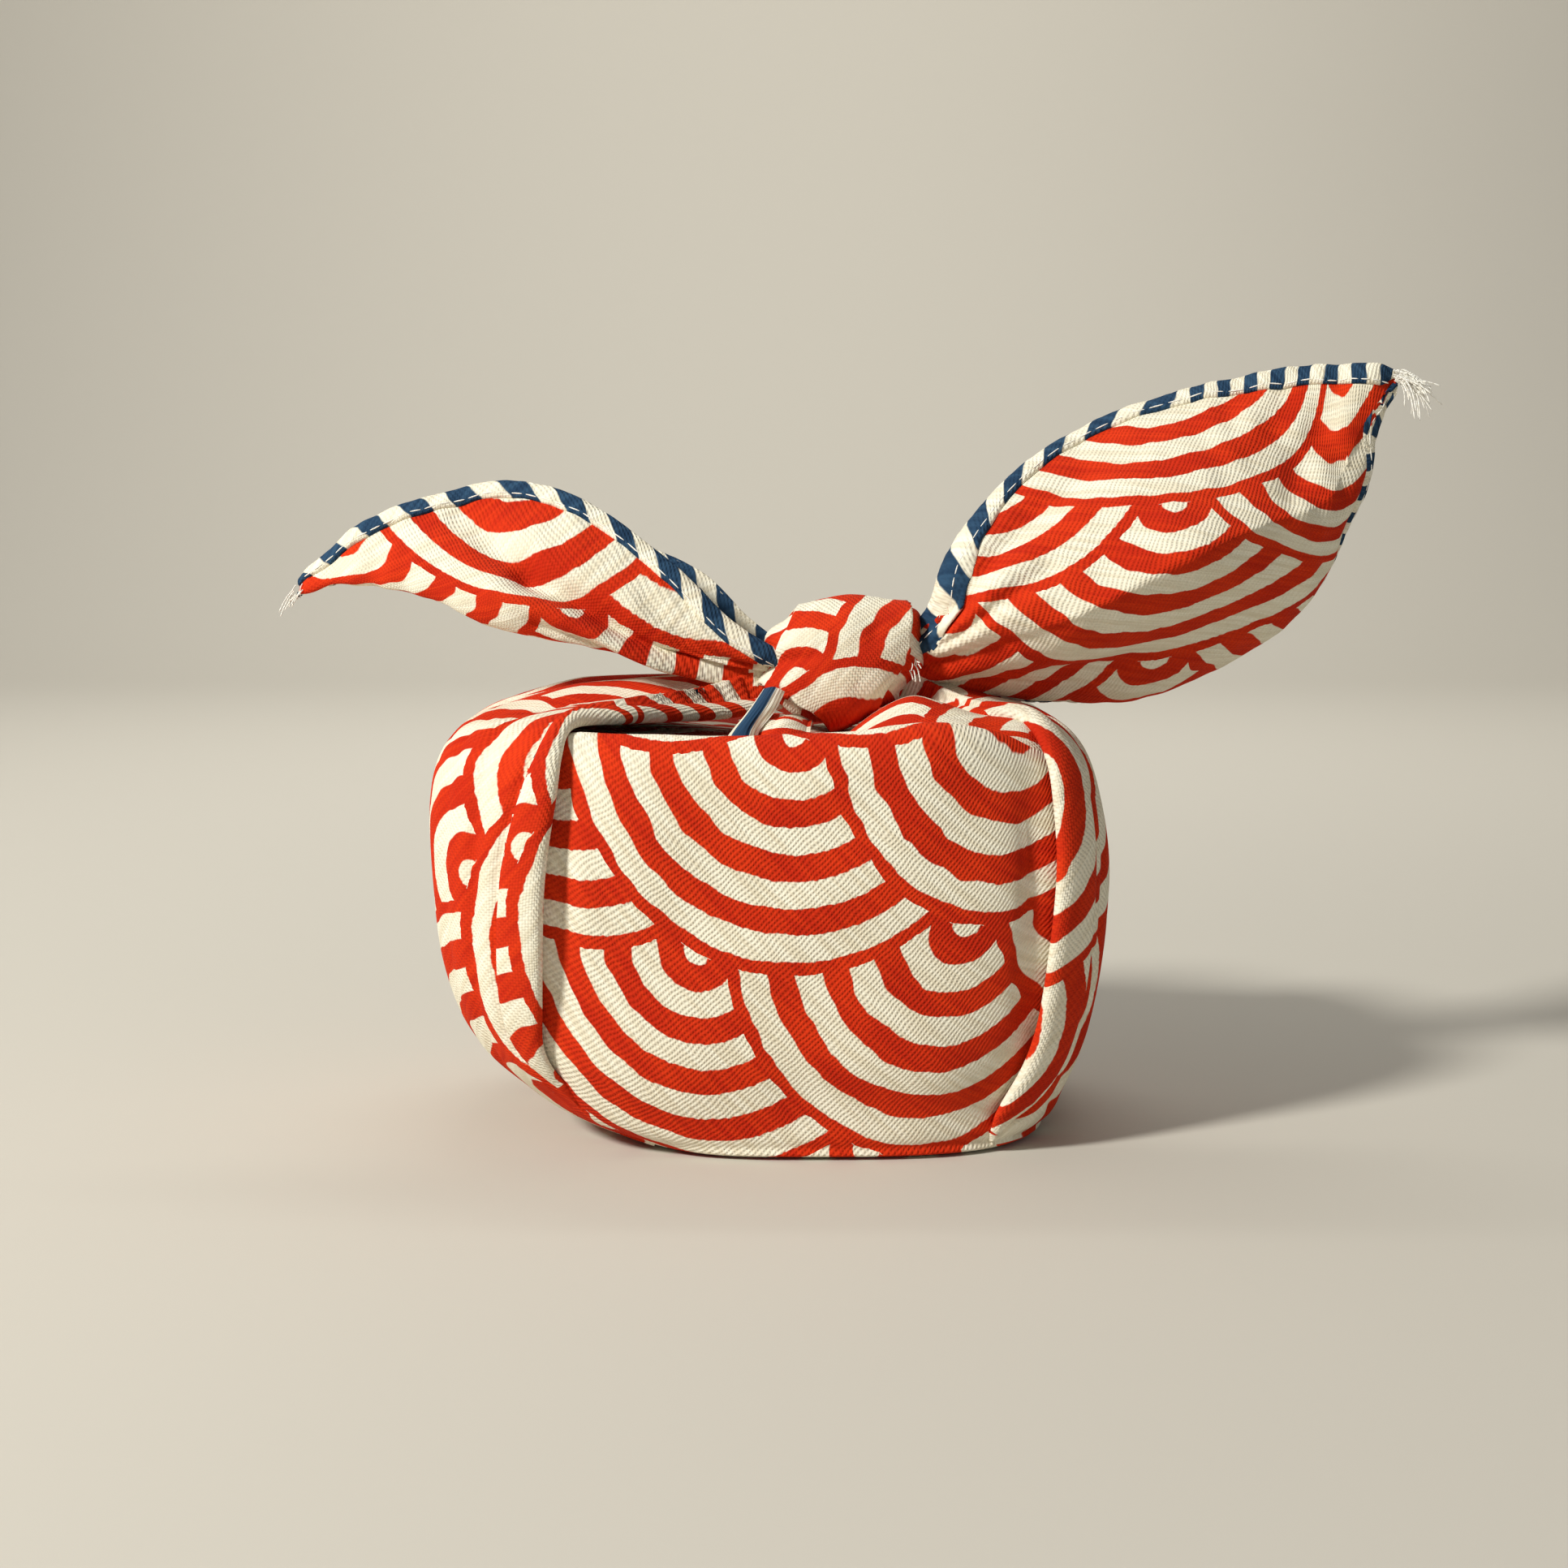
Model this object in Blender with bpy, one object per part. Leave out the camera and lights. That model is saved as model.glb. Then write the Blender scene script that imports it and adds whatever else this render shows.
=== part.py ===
"""Furoshiki wrap: one square of cloth folded round a box and tied on top, as it stands on a table.

The origin is the middle of the flat base, +Z is up and -Y is the front. Lengths are millimetres,
turned to metres where a point is placed. The cloth is one closed body: a hollow wrap, the two
folds that close its ends and run up as tails, the knot, and the two corners that stand out of it.
"""

import math
from collections import namedtuple

import bmesh
import bpy
from mathutils import Vector

MM = 0.001

CLOTH_WALL = 2.6        # the wrap's wall, more than one layer in most places
EAR_WALL = 1.8          # one layer of a free corner
HEM_EXTRA = 0.8         # how much the turned hem adds to an ear's edge
HEM_SHARE = 0.80        # the hem starts at this share of an ear's half width
FOLD_DEPTH = 0.7        # how deep an end fold is let into the wall it lies on

KNOT_CENTRE = Vector((14.0, -10.0, 90.0))
KNOT_SIZE = Vector((16.5, 13.5, 13.5))
KNOT_BAND_TURN = math.radians(-35)      # slope of the band that crosses the front of the knot
KNOT_BAND_WIDTH = 7.5
KNOT_BAND_RISE = 1.6
KNOT_GATHERS = 5

MOUTH_CENTRE = Vector((-6.5, -26.5, 70.0))     # the open pleat behind the front panel's top edge
MOUTH_SIZE = Vector((23.0, 17.0, 22.0))

# The wrap from the middle of its base, up its sides and over the top to the foot of the knot.
# rise is the height of a section, west, east, south and north are its reach from (x, y), and
# square is how boxy it is: 2 is an oval.
Section = namedtuple("Section", "rise x y west east south north square")
WRAP = (
    Section(0.0, 0, 0, 0.0, 0.0, 0.0, 0.0, 2.4),
    Section(0.0, 6, -1, 27.0, 41.0, 34.0, 30.0, 3.1),
    Section(2.6, 3, 0, 37.0, 51.0, 39.0, 36.0, 3.2),
    Section(8.5, 0, 0, 47.0, 56.5, 40.5, 40.0, 3.1),
    Section(19.0, 0, 0, 56.5, 60.5, 42.5, 42.5, 3.1),
    Section(34.0, 0, 0, 61.5, 62.5, 43.0, 43.5, 3.3),
    Section(52.0, 0, 0, 63.5, 64.0, 43.5, 44.0, 3.4),
    Section(66.0, 0, 0, 63.5, 62.0, 42.5, 43.5, 3.4),
    Section(74.5, 0, 0, 61.0, 58.5, 41.0, 42.0, 3.3),
    Section(78.5, 0, 0, 54.5, 52.0, 38.0, 38.5, 3.1),
    Section(77.5, 5, -3, 42.0, 38.0, 29.0, 31.0, 2.8),
    Section(77.0, 12, -8, 22.0, 20.0, 14.0, 15.0, 2.4),
    Section(77.0, 14, -9, 0.0, 0.0, 0.0, 0.0, 2.0),
)

# The fold round each end. place counts the rows of WRAP, front and back are the compass angles of
# its rolled edges, crest is its height over the wrap and roll the extra height of its edges.
Fold = namedtuple("Fold", "place front back crest roll")
WEST_FOLD = (
    Fold(2.1, 228, 133, 0.3, 0.2),
    Fold(3.2, 225, 132, 1.2, 1.2),
    Fold(4.5, 223, 132, 1.4, 2.3),
    Fold(6.5, 226, 132, 1.5, 2.6),
    Fold(8.0, 226, 132, 1.8, 2.6),
    Fold(9.0, 225, 133, 3.2, 2.4),
    Fold(10.0, 220, 140, 8.0, 1.6),
    Fold(10.9, 206, 156, 11.0, 1.0),
    Fold(11.3, 203, 160, 11.5, 0.6),
)
EAST_FOLD = (
    Fold(2.1, 319, 403, 0.3, 0.2),
    Fold(3.2, 321, 403, 1.2, 1.4),
    Fold(4.5, 324, 402, 1.4, 2.4),
    Fold(6.5, 325, 402, 1.5, 2.6),
    Fold(8.0, 327, 402, 1.6, 2.6),
    Fold(9.0, 330, 401, 2.6, 2.6),
    Fold(10.0, 328, 396, 5.0, 2.4),
    Fold(10.9, 336, 384, 8.5, 1.0),
    Fold(11.3, 341, 380, 9.5, 0.6),
)
ROLL_WIDTH = 9.0        # across a rolled edge, to the crease beside it
GATHERS = 4             # soft ridges that run up a tail to the knot
GATHER_RISE = 0.9

# The free corners, a row for each section from the knot to the tip: the fold down the middle and
# the two hemmed edges, each as x, y, z.
Leaf = namedtuple("Leaf", "fold near far")
WEST_EAR = (
    Leaf((4, -10, 88.5), (4, -16, 91.0), (4, -4, 91.5)),
    Leaf((-9, -12, 88.0), (-7, -16, 97.5), (-5, 1, 98.5)),
    Leaf((-23, -16, 90.5), (-20, -12, 109.0), (-15, 6, 108.0)),
    Leaf((-38, -18, 94.5), (-36, -7, 121.0), (-33, 12, 114.0)),
    Leaf((-53, -19, 98.5), (-52, -2, 124.5), (-51, 14, 115.0)),
    Leaf((-67, -15, 103.0), (-68, -3, 121.0), (-68, 10, 113.5)),
    Leaf((-81, -10, 105.5), (-82, -4, 114.5), (-82, 4, 110.5)),
    Leaf((-92, -6, 103.0), (-92, -4, 106.0), (-92, -1, 105.0)),
)
EAST_EAR = (
    Leaf((26, -12, 89.0), (27, -9, 93.5), (27, -7, 84.5)),
    Leaf((38, -19, 93.0), (32, -8, 101.0), (41, -3, 85.5)),
    Leaf((48, -24, 97.0), (36, -5, 112.0), (57, 4, 82.5)),
    Leaf((61, -27, 102.0), (45, -1, 124.0), (74, 8, 82.5)),
    Leaf((76, -26, 110.0), (61, 3, 134.5), (91, 9, 88.5)),
    Leaf((91, -21, 120.5), (80, 4, 141.5), (106, 6, 101.5)),
    Leaf((105, -13, 131.5), (100, 1, 146.0), (114, 0, 120.5)),
    Leaf((114, -8, 139.5), (112, -3, 147.0), (117, -4, 134.0)),
    Leaf((121, -5, 144.0), (120, -4, 146.5), (121, -4, 141.5)),
)
EAR_FOLD_SHARPNESS = 0.3        # 0 is a round gutter, 1 a pressed crease, reached away from the knot

CLOTH_COLOUR = (0.72, 0.12, 0.03, 1.0)


def smooth_step(value):
    """0 below 0, 1 above 1 and an S curve between."""
    value = min(max(value, 0.0), 1.0)
    return value * value * (3 - 2 * value)


def blend_rows(before, start, end, after, share):
    """A smooth curve through four numbers or vectors, read between the middle two."""
    slope_in = (end - before) * 0.5
    slope_out = (after - start) * 0.5
    square = share * share
    cube = square * share
    return (start * (2 * cube - 3 * square + 1) + slope_in * (cube - 2 * square + share)
            + end * (3 * square - 2 * cube) + slope_out * (cube - square))


def read_rows(rows, place, column):
    """A column of a table between its rows, as a smooth curve."""
    index = min(int(place), len(rows) - 2)
    picks = [rows[min(max(index + step, 0), len(rows) - 1)] for step in (-1, 0, 1, 2)]
    values = [getattr(row, column) for row in picks]
    if isinstance(values[0], tuple):
        values = [Vector(value) for value in values]
    return blend_rows(*values, place - index)


def wrap_point(place, angle, inset=0.0):
    """The wrap's surface in millimetres; place runs from 0 under the base to 12 at the knot."""
    centre = Vector((read_rows(WRAP, place, "x"), read_rows(WRAP, place, "y"), 0.0))
    rise = read_rows(WRAP, place, "rise") if place > 1 else 0.0
    east_west = "east" if math.cos(angle) > 0 else "west"
    north_south = "north" if math.sin(angle) > 0 else "south"
    half_x = max(read_rows(WRAP, place, east_west) - inset, 0.01)
    half_y = max(read_rows(WRAP, place, north_south) - inset, 0.01)
    square = read_rows(WRAP, place, "square")
    reach = (abs(math.cos(angle) / half_x) ** square + abs(math.sin(angle) / half_y) ** square) ** (-1 / square)
    highest = max(row.rise for row in WRAP)
    height = inset + max(rise, 0.0) * (highest - 2 * inset) / highest
    return centre + Vector((reach * math.cos(angle), reach * math.sin(angle), height))


def wrap_normal(place, angle):
    """The direction straight out of the wrap's surface."""
    step = 0.05
    across = wrap_point(place, angle + step) - wrap_point(place, angle - step)
    along = wrap_point(min(place + step, 11.9), angle) - wrap_point(place - step, angle)
    return across.cross(along).normalized()


def fold_place(rows, across, along):
    """Row of WRAP and angle of a point on an end fold, which is given as two shares."""
    row_place = along * (len(rows) - 1)
    place = read_rows(rows, row_place, "place")
    front = read_rows(rows, row_place, "front")
    back = read_rows(rows, row_place, "back")
    return place, math.radians(front + (back - front) * across), row_place


def fold_point(rows, across, along, layer):
    """A point of an end fold: layer 0 is let into the wall and layer 1 is the outside."""
    place, angle, row_place = fold_place(rows, across, along)
    base = wrap_point(place, angle)
    normal = wrap_normal(place, angle)
    if layer < 0.5:
        return base - normal * FOLD_DEPTH
    edge = min((base - wrap_point(place, fold_place(rows, side, along)[1])).length for side in (0, 1))
    crest = read_rows(rows, row_place, "crest")
    roll = read_rows(rows, row_place, "roll")
    low = min(crest, 1.4)
    dome = low + (crest - low) * math.sin(math.pi * across) ** 0.8
    edge_roll = roll * math.sin(math.pi * min(edge / ROLL_WIDTH + 0.25, 1.0))
    on_top = smooth_step((place - 8.6) / 1.6)
    gathers = GATHER_RISE * on_top * math.cos(2 * math.pi * GATHERS * across)
    return base + normal * (dome + edge_roll * (1 - 0.5 * on_top) + gathers)


def leaf_middle(rows, across, along):
    """The middle of an ear's cloth: across runs from its near edge at 0 to its far edge at 1."""
    row_place = along * (len(rows) - 1)
    fold, near, far = (read_rows(rows, row_place, name) for name in ("fold", "near", "far"))
    pull = fold * 2 - (near + far) * 0.5
    gutter = near * (1 - across) ** 2 + pull * 2 * across * (1 - across) + far * across ** 2
    if across < 0.5:
        crease = near.lerp(fold, across * 2)
    else:
        crease = fold.lerp(far, across * 2 - 1)
    return gutter.lerp(crease, EAR_FOLD_SHARPNESS * smooth_step((along - 0.1) / 0.3))


def leaf_point(rows, across, along, layer):
    """A point of an ear, half its cloth's thickness to one side of the middle."""
    step = 0.02
    low_across, high_across = max(across - step, 0), min(across + step, 1)
    low_along, high_along = max(along - step, 0), min(along + step, 1)
    over = leaf_middle(rows, high_across, along) - leaf_middle(rows, low_across, along)
    out = leaf_middle(rows, across, high_along) - leaf_middle(rows, across, low_along)
    normal = over.cross(out).normalized()
    hem = smooth_step((abs(across * 2 - 1) - HEM_SHARE) / (1 - HEM_SHARE) * 2)
    thickness = EAR_WALL + HEM_EXTRA * hem
    return leaf_middle(rows, across, along) + normal * thickness * (layer - 0.5)


def new_object(name, mesh_builder, collection):
    """An object from a bmesh with its faces turned outwards."""
    bmesh.ops.recalc_face_normals(mesh_builder, faces=mesh_builder.faces[:])
    if mesh_builder.calc_volume(signed=True) < 0:
        bmesh.ops.reverse_faces(mesh_builder, faces=mesh_builder.faces[:])
    mesh = bpy.data.meshes.new(name)
    mesh_builder.to_mesh(mesh)
    mesh_builder.free()
    mesh.shade_smooth()
    made = bpy.data.objects.new(name, mesh)
    collection.objects.link(made)
    return made


def sheet(name, columns, rows, point, collection):
    """A closed sheet of two layers: point gives the place of (across, along, layer)."""
    shape = bmesh.new()
    bmesh.ops.create_grid(shape, x_segments=columns, y_segments=rows, size=0.5)
    bmesh.ops.translate(shape, verts=shape.verts[:], vec=(0.5, 0.5, 0))
    lifted = bmesh.ops.extrude_face_region(shape, geom=shape.faces[:])
    upper = [item for item in lifted["geom"] if isinstance(item, bmesh.types.BMVert)]
    bmesh.ops.translate(shape, verts=upper, vec=(0, 0, 1))
    for vert in shape.verts:
        vert.co = point(vert.co.x, vert.co.y, vert.co.z) * MM
    return new_object(name, shape, collection)


def ball(name, around, upward, point, collection):
    """A closed form from a sphere: point gives the place of (angle, share of the way up)."""
    shape = bmesh.new()
    bmesh.ops.create_uvsphere(shape, u_segments=around, v_segments=upward, radius=1.0)
    for vert in shape.verts:
        angle = math.atan2(vert.co.y, vert.co.x)
        share = 0.5 + math.asin(min(max(vert.co.z, -1), 1)) / math.pi
        vert.co = point(angle, share) * MM
    return new_object(name, shape, collection)


def knot_point(angle, share):
    """The knot: a squat ball with gathers at its sides and a band across its front."""
    slope = math.pi * (share - 0.5)
    direction = Vector((math.cos(angle) * math.cos(slope), math.sin(angle) * math.cos(slope), math.sin(slope)))
    reach = sum(abs(value) ** 2.5 for value in direction) ** (-1 / 2.5)
    place = Vector(value * size * reach for value, size in zip(direction, KNOT_SIZE))
    tilted = place.x * math.cos(KNOT_BAND_TURN) - place.z * math.sin(KNOT_BAND_TURN)
    band = KNOT_BAND_RISE * (1 - smooth_step((abs(tilted) - KNOT_BAND_WIDTH) / 4))
    around = math.atan2(place.z, place.y)
    side = smooth_step((abs(place.x) - KNOT_BAND_WIDTH) / 6)
    gathers = 0.7 * side * math.cos(KNOT_GATHERS * 2 * around)
    return KNOT_CENTRE + place + direction * (band + gathers)


def oval_post(name, centre, size, collection):
    """An upright oval post."""
    shape = bmesh.new()
    bmesh.ops.create_cone(shape, cap_ends=True, segments=20, radius1=0.5, radius2=0.5, depth=1.0)
    bmesh.ops.scale(shape, verts=shape.verts[:], vec=size * MM)
    bmesh.ops.translate(shape, verts=shape.verts[:], vec=centre * MM)
    return new_object(name, shape, collection)


def combine(target, tool, operation):
    """Add a tool to the target, or take it away."""
    tool.hide_render = True
    tool.display_type = "WIRE"
    step = target.modifiers.new(tool.name, "BOOLEAN")
    step.operation = operation
    step.solver = "EXACT"
    step.object = tool


def cloth_material():
    """Printed cotton, by its main colour."""
    material = bpy.data.materials.new("printed_cloth")
    material.use_nodes = True
    shader = material.node_tree.nodes["Principled BSDF"]
    shader.inputs["Base Color"].default_value = CLOTH_COLOUR
    shader.inputs["Roughness"].default_value = 0.9
    shader.inputs["Metallic"].default_value = 0.0
    return material


def new_collection(name):
    """A collection in the scene."""
    collection = bpy.data.collections.new(name)
    bpy.context.scene.collection.children.link(collection)
    return collection


def make_wrap():
    """The whole cloth as one body."""
    parts = new_collection("furoshiki_wrap")
    tools = new_collection("shaping_tools")
    top = len(WRAP) - 1
    cloth = ball("wrap_cloth", 48, 26, lambda angle, share: wrap_point(share * top, angle), parts)
    cloth.data.materials.append(cloth_material())
    for name, rows in (("west_fold", WEST_FOLD), ("east_fold", EAST_FOLD)):
        fold = sheet(name, 18, 22, lambda a, b, c, rows=rows: fold_point(rows, a, b, c), tools)
        combine(cloth, fold, "UNION")
    combine(cloth, ball("knot", 26, 16, knot_point, tools), "UNION")
    for name, rows in (("west_ear", WEST_EAR), ("east_ear", EAST_EAR)):
        ear = sheet(name, 14, 14, lambda a, b, c, rows=rows: leaf_point(rows, a, b, c), tools)
        combine(cloth, ear, "UNION")
    hollow = ball("hollow", 32, 18, lambda angle, share: wrap_point(share * top, angle, CLOTH_WALL), tools)
    combine(cloth, hollow, "DIFFERENCE")
    combine(cloth, oval_post("mouth", MOUTH_CENTRE, MOUTH_SIZE, tools), "DIFFERENCE")


def clear_scene():
    """Start from an empty scene."""
    for thing in list(bpy.data.objects):
        bpy.data.objects.remove(thing, do_unlink=True)


clear_scene()
make_wrap()
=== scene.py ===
import functools
import math
import random
from collections import namedtuple

import bmesh
import bpy
from mathutils import Matrix, Vector, noise


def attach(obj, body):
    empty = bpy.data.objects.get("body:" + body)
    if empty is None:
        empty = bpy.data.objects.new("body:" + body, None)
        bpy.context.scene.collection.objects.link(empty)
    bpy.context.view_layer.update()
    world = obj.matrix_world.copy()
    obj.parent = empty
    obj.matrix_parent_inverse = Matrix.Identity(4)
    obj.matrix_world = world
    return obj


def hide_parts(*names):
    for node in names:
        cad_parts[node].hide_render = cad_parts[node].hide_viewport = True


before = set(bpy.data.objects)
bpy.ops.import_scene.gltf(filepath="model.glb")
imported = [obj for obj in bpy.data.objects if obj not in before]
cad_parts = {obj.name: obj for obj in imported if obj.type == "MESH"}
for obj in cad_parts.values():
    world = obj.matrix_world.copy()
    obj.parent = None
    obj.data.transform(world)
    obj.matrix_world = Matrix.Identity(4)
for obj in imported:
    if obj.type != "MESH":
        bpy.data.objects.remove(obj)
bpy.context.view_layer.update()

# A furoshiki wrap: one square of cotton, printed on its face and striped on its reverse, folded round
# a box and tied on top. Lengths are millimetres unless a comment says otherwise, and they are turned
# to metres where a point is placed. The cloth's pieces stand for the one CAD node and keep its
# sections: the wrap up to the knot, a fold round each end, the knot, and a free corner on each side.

MM = 0.001

# Sizes of the cloth
HALF_DIAGONAL = 354.0  # of a 500 mm square
CLOTH_THICKNESS = 0.5
HEM_WIDTH = 4.3
HEM_THICKNESS = 1.7
HEM_OVERHANG = 0.7  # how far a hem stands out past the cloth's edge
STITCH_LENGTH = 2.3
STITCH_PITCH = 2.9
STITCH_RADIUS = 0.14
STITCH_INSET = 0.7  # of the hem's width
STITCH_RISE = 0.42  # of the hem's thickness
WEAVE_PITCH = 0.85
RING_PITCH = 9.8  # one printed ring and the ground beside it
SCALE_RADIUS = 4.5 * RING_PITCH
PRINT_TURN = 24.0  # degrees that the wave scales lean on the square
STRIPE_PITCH = 10.5  # the reverse's stripes
KNOT_CENTRE = Vector((14.0, -10.0, 90.0))
KNOT_DEPTH = 13.0

# The wrap from the middle of its base, up its sides and over the top to the knot: rise is a section's
# height, x and y its middle, west to north its reach from there, and square how square it is, from 2
# for an ellipse.
Section = namedtuple("Section", "rise x y west east south north square")
WRAP = (
    Section(0.0, 0, 0, 0.0, 0.0, 0.0, 0.0, 2.4),
    Section(0.0, 6, -1, 27.0, 41.0, 34.0, 30.0, 3.1),
    Section(2.6, 3, 0, 37.0, 51.0, 39.0, 36.0, 3.2),
    Section(8.5, 0, 0, 47.0, 56.5, 40.5, 40.0, 3.1),
    Section(19.0, 0, 0, 56.5, 60.5, 42.5, 42.5, 3.1),
    Section(34.0, 0, 0, 61.5, 62.5, 43.0, 43.5, 3.3),
    Section(52.0, 0, 0, 63.5, 64.0, 43.5, 44.0, 3.4),
    Section(66.0, 0, 0, 63.5, 62.0, 42.5, 43.5, 3.4),
    Section(74.5, 0, 0, 61.0, 58.5, 41.0, 42.0, 3.3),
    Section(78.5, 0, 0, 54.5, 52.0, 38.0, 38.5, 3.1),
    Section(77.5, 5, -3, 42.0, 38.0, 29.0, 31.0, 2.8),
    Section(77.0, 12, -8, 22.0, 20.0, 14.0, 15.0, 2.4),
    Section(77.0, 14, -9, 0.0, 0.0, 0.0, 0.0, 2.0),
)
WRAP_TOP = len(WRAP) - 1

# Where the top of the wrap is open behind the front panel's edge: ovals in x and y.
Mouth = namedtuple("Mouth", "x y half_x half_y")
MOUTHS = (
    Mouth(-6.5, -26.5, 11.5, 8.5),
    Mouth(-20.0, -31.0, 13.0, 4.6),
)
MOUTHS_ABOVE = 70.0

# The fold round each end: place counts the rows of WRAP, front and back are the compass angles of
# its rolled edges, crest is its height over the wrap, roll the radius of its edges, width the
# distance from an edge to the crease beside it, and lift how far the edges stand off the wrap.
Fold = namedtuple("Fold", "place front back crest roll width lift")
WEST_FOLD = (
    Fold(1.6, 231, 132, 0.1, 0.2, 0.5, 0.0),
    Fold(2.8, 226, 132, 0.5, 0.3, 0.5, 0.0),
    Fold(3.4, 224.5, 132, 0.8, 0.5, 1.2, 0.1),
    Fold(4.1, 222.5, 132, 1.2, 1.0, 5.5, 0.8),
    Fold(4.7, 223.5, 132, 1.2, 1.3, 8.2, 1.0),
    Fold(5.7, 225, 132, 1.2, 1.4, 9.0, 1.0),
    Fold(7.1, 226.5, 132, 1.3, 1.4, 7.0, 0.9),
    Fold(8.1, 226, 132, 1.8, 1.4, 4.6, 0.8),
    Fold(9.0, 225, 133, 3.4, 1.5, 3.4, 1.2),
    Fold(10.0, 220, 140, 7.4, 1.8, 3.2, 2.4),
    Fold(10.9, 206, 156, 9.6, 1.7, 3.0, 2.8),
    Fold(11.4, 202, 162, 10.2, 1.5, 3.0, 4.4),
)
EAST_FOLD = (
    Fold(1.6, 318, 404, 0.1, 0.2, 0.5, 0.0),
    Fold(2.4, 319, 404, 0.5, 0.6, 2.5, 0.2),
    Fold(3.4, 321, 403, 1.0, 1.3, 8.0, 0.8),
    Fold(4.5, 324, 402, 1.2, 1.4, 9.5, 0.9),
    Fold(6.0, 325, 402, 1.2, 1.4, 9.5, 0.9),
    Fold(7.2, 326, 402, 1.2, 1.4, 8.5, 0.9),
    Fold(8.2, 327.5, 402, 1.5, 1.4, 6.0, 0.9),
    Fold(9.0, 330, 401, 2.6, 1.6, 4.5, 1.1),
    Fold(10.0, 328, 396, 5.0, 1.8, 4.0, 1.8),
    Fold(10.9, 336, 384, 8.0, 1.7, 3.0, 2.6),
    Fold(11.4, 342, 379, 9.0, 1.5, 3.0, 3.6),
)
WEST_ROOT = 3.4  # the place where the front pleat opens, and the cloth is whole below it
EAST_ROOT = 2.2
FOLD_TOP = 11.6  # the highest place that a fold may reach, inside the knot
TOP_START = 8.4  # the place where the ends turn over onto the top
TOP_LENGTH = 1.6  # and how many rows the turn takes
TURNED_UNDER = 6.0  # how far a rolled edge runs back beneath itself
OFF_TABLE = 0.25  # the least height of a fold's outside
GATHERS = 4
CREST_LEVEL = 1.2  # the crest of a fold that lies flat on the wrap
STRIP_SHIFT = Vector((6.0, 13.0))  # the print's jump at the crease beside a rolled edge

# Long creases down the ends, beside the rolled edges.
EndCrease = namedtuple("EndCrease", "distance depth width")
END_CREASES = (
    EndCrease(15.5, 0.8, 1.5),
    EndCrease(24.0, 0.6, 1.8),
    EndCrease(35.0, 0.5, 2.0),
)

# The free corners, a row for each section from the knot to the tip: fold is the line that the corner
# is folded on, and near and far are its two hemmed edges.
Leaf = namedtuple("Leaf", "fold near far")
WEST_EAR = (
    Leaf((4, -10, 88.5), (4, -16, 91.0), (4, -4, 91.5)),
    Leaf((-9, -12, 88.0), (-7, -16, 97.5), (-5, 1, 98.5)),
    Leaf((-23, -16, 90.5), (-20, -12, 109.0), (-15, 6, 108.0)),
    Leaf((-38, -18, 94.5), (-36, -7, 121.0), (-33, 12, 114.0)),
    Leaf((-53, -19, 98.5), (-52, -2, 124.5), (-51, 14, 115.0)),
    Leaf((-67, -15, 103.0), (-68, -3, 121.0), (-68, 10, 113.5)),
    Leaf((-81, -10, 105.5), (-82, -4, 114.5), (-82, 4, 110.5)),
    Leaf((-92, -6, 103.0), (-92, -4, 106.0), (-92, -1, 105.0)),
)
EAST_EAR = (
    Leaf((26, -12, 89.0), (27, -9, 93.5), (27, -7, 84.5)),
    Leaf((38, -19, 93.0), (31.5, -14, 101.0), (41, -3, 84.0)),
    Leaf((49, -24, 97.0), (35.5, -14, 112.0), (57.5, 4, 80.5)),
    Leaf((61, -27, 102.0), (44.5, -7, 124.0), (75, 8, 80.0)),
    Leaf((76, -26, 110.0), (61, 3, 134.5), (92.5, 9, 86.0)),
    Leaf((92, -20, 116.5), (80, 4, 141.5), (108, 6, 99.5)),
    Leaf((107, -10, 122.0), (100, 1, 146.0), (115.5, 0, 120.0)),
    Leaf((115, -6, 137.0), (112, -3, 147.0), (117.5, -4, 134.0)),
    Leaf((121, -5, 144.0), (120, -4, 146.5), (121, -4, 141.5)),
)

# Creases pressed into the cloth: troughs where depth is positive, ridges where it is negative. At its
# width from the line a crease has faded to about a third.
Crease = namedtuple("Crease", "start end depth width")
WRAP_CREASES = (
    Crease((-38, -42, 14), (-12, -40, 4), 0.9, 3.0),
    Crease((-36, -43, 20), (-20, -43, 9), -0.7, 3.0),
    Crease((47, -42, 76), (50, -42, 22), 0.8, 4.0),
    Crease((49, -41, 6), (16, -44, 32), -0.7, 5.0),
    Crease((44, -41, 4), (4, -43, 15), 0.6, 4.0),
    Crease((-36, -42, 74), (-28, -44, 44), 0.6, 4.0),
    Crease((-30, -43, 40), (14, -44, 60), 0.35, 7.0),
    Crease((24, -36, 80), (42, -36, 79), -2.4, 6.0),
    Crease((-37, -37, 79), (-34, -37, 79), -1.6, 2.2),
    Crease((-38, -41, 73), (-38.5, -42, 15), 1.9, 2.2),
    Crease((49, -38, 70), (49, -38, 12), 2.0, 2.3),
)

# Creases of the ears, in percent of the way from the knot to the tip, and in sixtieths of the way from
# the near edge over the fold to the far one.
EAR_LENGTH_PARTS = 100
EAR_WIDTH_PARTS = 60
WEST_EAR_CREASES = (
    Crease((64, 5, 0), (50, 14, 0), 2.6, 3.0),
    Crease((50, 14, 0), (9, 21, 0), 4.2, 3.0),
    Crease((56, 19, 0), (12, 25.5, 0), -2.0, 2.8),
    Crease((48, 25, 0), (12, 28.5, 0), 1.7, 1.8),
    Crease((30, 8, 0), (8, 13, 0), 1.2, 2.0),
)
EAST_EAR_CREASES = (
    Crease((8, 12, 0), (46, 9, 0), 1.8, 3.0),
    Crease((10, 22, 0), (34, 20, 0), 1.6, 2.2),
    Crease((12, 42, 0), (55, 46, 0), 1.6, 3.0),
)

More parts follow.
